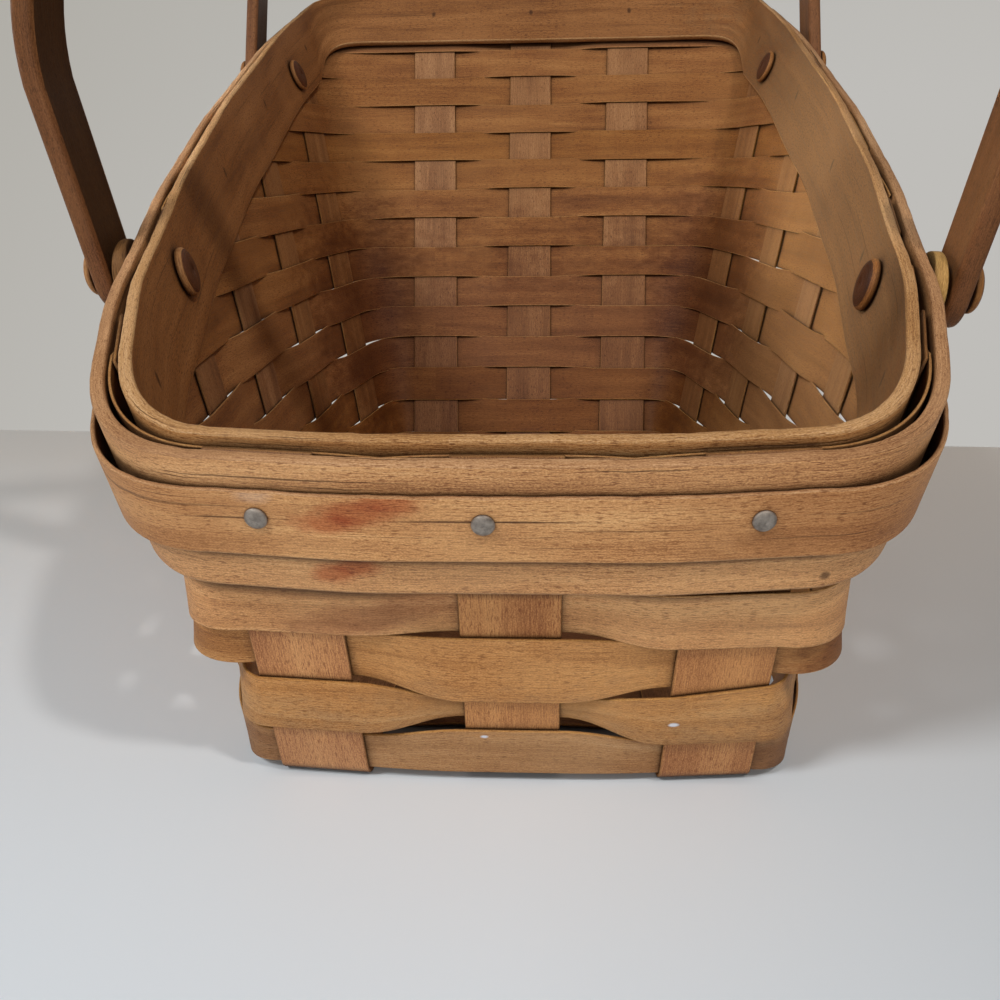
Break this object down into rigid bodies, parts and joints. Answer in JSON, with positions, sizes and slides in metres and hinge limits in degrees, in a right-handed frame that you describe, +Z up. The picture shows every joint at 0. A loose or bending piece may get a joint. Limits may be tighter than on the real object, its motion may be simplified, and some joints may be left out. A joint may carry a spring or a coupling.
{
  "type": "vegetable basket",
  "caption": "Woven wood-splint basket with flared sides, a rim that climbs from a low front to a high back, and bentwood handles that swing on wooden rivets.",
  "frame": {"origin": "underside of the woven floor, at the middle of the centre long splint", "axes": "+X to the right as seen from the low front, +Y from the low front to the high back, +Z up"},
  "size_m": [0.3262, 0.48, 0.3587],
  "materials": {
    "splint_wood": "satin",
    "weaver_wood": "satin",
    "rim_wood": "satin",
    "trim_wood": "satin",
    "handle_wood": "satin",
    "rivet_wood": "satin",
    "washer_wood": "matte",
    "tack_steel": "satin"
  },
  "bodies": {
    "basket": {"long_splint_left": "splint_wood", "long_splint_centre": "splint_wood", "long_splint_right": "splint_wood", "cross_splint_1": "splint_wood", "cross_splint_2": "splint_wood", "cross_splint_3": "splint_wood", "cross_splint_4": "splint_wood", "cross_splint_5": "splint_wood", "weaver_row_01": "weaver_wood", "weaver_row_02": "weaver_wood", "weaver_row_03": "weaver_wood", "weaver_row_04": "weaver_wood", "weaver_row_05": "weaver_wood", "weaver_row_06": "weaver_wood", "weaver_row_07": "weaver_wood", "weaver_row_08": "weaver_wood", "weaver_row_09": "weaver_wood", "weaver_row_10": "weaver_wood", "weaver_row_11": "weaver_wood", "weaver_row_12": "weaver_wood", "weaver_row_13": "weaver_wood", "weaver_row_14": "weaver_wood", "weaver_row_15": "weaver_wood", "weaver_row_16": "weaver_wood", "inner_rim_band": "rim_wood", "outer_rim_band": "rim_wood", "rim_trim_strip": "trim_wood", "rim_tack_01": "tack_steel", "rim_tack_02": "tack_steel", "rim_tack_03": "tack_steel", "rim_tack_04": "tack_steel", "rim_tack_05": "tack_steel", "rim_tack_06": "tack_steel", "rim_tack_07": "tack_steel", "rim_tack_08": "tack_steel", "rim_tack_09": "tack_steel", "rim_tack_10": "tack_steel", "rim_tack_11": "tack_steel", "rim_tack_12": "tack_steel", "rim_tack_13": "tack_steel", "rim_tack_14": "tack_steel", "rim_tack_15": "tack_steel", "rivet_front_right": "rivet_wood", "rivet_front_left": "rivet_wood", "rivet_back_right": "rivet_wood", "rivet_back_left": "rivet_wood", "washer_front_right": "washer_wood", "washer_front_left": "washer_wood", "washer_back_right": "washer_wood", "washer_back_left": "washer_wood"},
    "front_handle": {"front_handle": "handle_wood"},
    "back_handle": {"back_handle": "handle_wood"}
  },
  "joints": [
    {"name": "front_handle_swing", "type": "hinge", "parent": "basket", "child": "front_handle", "pos_m": [-0.0011, -0.05634, 0.12767], "axis": [0.9982, -0.0563, -0.0189], "range_deg": [-45, 125]},
    {"name": "back_handle_swing", "type": "hinge", "parent": "basket", "child": "back_handle", "pos_m": [0, 0.20706, 0.21126], "axis": [1, 0, 0], "range_deg": [-152, 121]}
  ]
}
